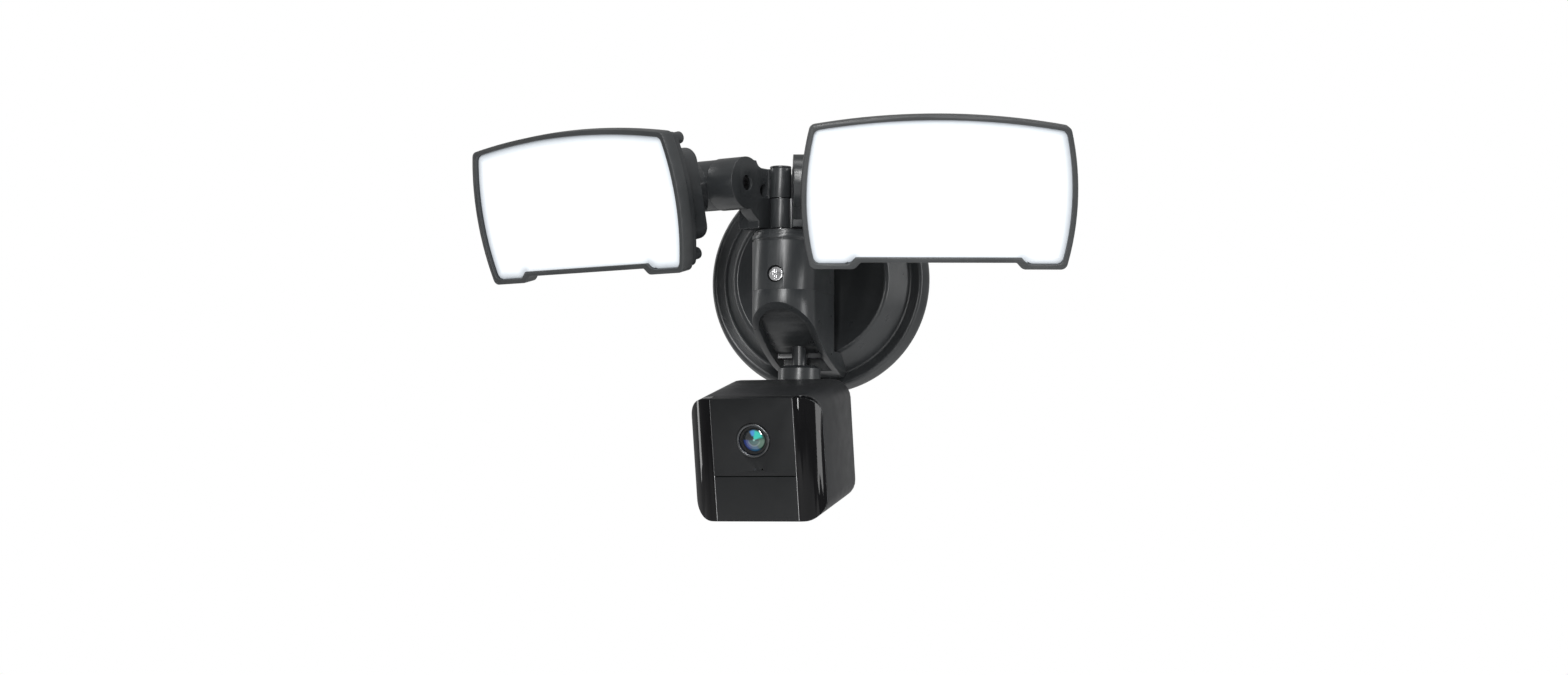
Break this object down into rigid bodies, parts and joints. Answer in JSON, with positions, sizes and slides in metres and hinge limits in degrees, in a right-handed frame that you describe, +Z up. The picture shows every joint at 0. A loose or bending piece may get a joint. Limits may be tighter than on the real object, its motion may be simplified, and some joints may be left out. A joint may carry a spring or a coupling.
{
  "type": "floodlight security camera",
  "caption": "Wall floodlight on a round plate: a pair of lamps on swinging, tilting arms and a boxy camera head that pans and tilts on a stem below.",
  "frame": {"origin": "centre of the wall plate's back face, on the wall", "axes": "+X to the viewer's right, +Y into the wall, +Z up; the lamps and the camera face -Y"},
  "size_m": [0.3294, 0.1508, 0.2046],
  "materials": {
    "housing_grey": "satin moulded plastic",
    "bezel_grey": "satin moulded plastic",
    "camera_shell": "fine matte texture",
    "front_panel": "fine matte texture",
    "sensor_window": "matte infrared window",
    "gloss_black": "polished",
    "diffuser": "milky diffuser, lit",
    "lens_trim": "satin ring",
    "lens_glass": "coated lens",
    "inner_black": "matte black",
    "screw_steel": "plated steel",
    "dark_steel": "blackened steel",
    "zinc_steel": "zinc plated",
    "spreader_alu": "plain",
    "rubber_black": "soft seal",
    "nylon_white": "moulded nylon",
    "circuit_board": "solder mask",
    "led_board": "white solder mask",
    "led_chips": "phosphor",
    "coil_parts": "wound coils and capacitors",
    "status_light": "light pipe"
  },
  "bodies": {
    "base": {"wall_plate": "housing_grey", "wall_gasket": "rubber_black", "mounting_bracket": "zinc_steel", "terminal_block": "nylon_white", "column_neck": "housing_grey", "column_body": "housing_grey", "column_cap": "housing_grey", "column_hood": "housing_grey", "column_screw": "screw_steel", "driver_board": "circuit_board", "driver_coils": "coil_parts", "hub_post": "screw_steel"},
    "left_arm": {"left_arm": "housing_grey", "left_tilt_bolt": "dark_steel", "hub_cap": "housing_grey"},
    "right_arm": {"right_arm": "housing_grey", "right_tilt_bolt": "dark_steel"},
    "left_lamp": {"left_knuckle": "housing_grey", "left_lamp_housing": "housing_grey", "left_bezel": "bezel_grey", "left_diffuser": "diffuser", "left_led_board": "led_board", "left_leds": "led_chips", "left_heat_spreader": "spreader_alu", "left_bezel_screws": "screw_steel"},
    "right_lamp": {"right_knuckle": "housing_grey", "right_lamp_housing": "housing_grey", "right_bezel": "bezel_grey", "right_diffuser": "diffuser", "right_led_board": "led_board", "right_leds": "led_chips", "right_heat_spreader": "spreader_alu", "right_bezel_screws": "screw_steel"},
    "pan_neck": {"pan_stem": "housing_grey", "pan_nut": "dark_steel"},
    "camera": {"tilt_yoke": "housing_grey", "tilt_pin": "screw_steel", "camera_body": "camera_shell", "camera_front": "front_panel", "side_strips": "gloss_black", "pir_window": "sensor_window", "pir_sensor": "screw_steel", "lens_ring": "lens_trim", "lens_glass": "lens_glass", "lens_barrel": "inner_black", "sensor_board": "circuit_board", "main_board": "circuit_board", "speaker": "inner_black", "microphone": "screw_steel", "status_light": "status_light"},
    "reset": {"reset_button": "rubber_black"}
  },
  "joints": [
    {"name": "left_arm_swing", "type": "hinge", "parent": "base", "child": "left_arm", "pos_m": [0, -0.0747, 0.04], "axis": [0, 0, -1], "range_deg": [-18, 30]},
    {"name": "right_arm_swing", "type": "hinge", "parent": "base", "child": "right_arm", "pos_m": [0, -0.0747, 0.04], "axis": [0, 0, 1], "range_deg": [-18, 30]},
    {"name": "left_lamp_tilt", "type": "hinge", "parent": "left_arm", "child": "left_lamp", "pos_m": [-0.0069, -0.09496, 0.045], "axis": [-0.9466, 0.3223, 0], "range_deg": [-45, 40]},
    {"name": "right_lamp_tilt", "type": "hinge", "parent": "right_arm", "child": "right_lamp", "pos_m": [0.0069, -0.09496, 0.045], "axis": [-0.9466, -0.3223, 0], "range_deg": [-45, 40]},
    {"name": "camera_pan", "type": "hinge", "parent": "base", "child": "pan_neck", "pos_m": [0, -0.041, -0.06], "axis": [0, 0, 1], "range_deg": [-60, 60]},
    {"name": "camera_tilt", "type": "hinge", "parent": "pan_neck", "child": "camera", "pos_m": [0, -0.041, -0.0849], "axis": [-1, 0, 0], "range_deg": [-30, 16]},
    {"name": "reset_press", "type": "slide", "parent": "camera", "child": "reset", "axis": [0, -0.2011, 0.9796], "range_m": [0, 0.0008], "stiffness_N_per_m": 400, "springref_m": -0.0005}
  ]
}
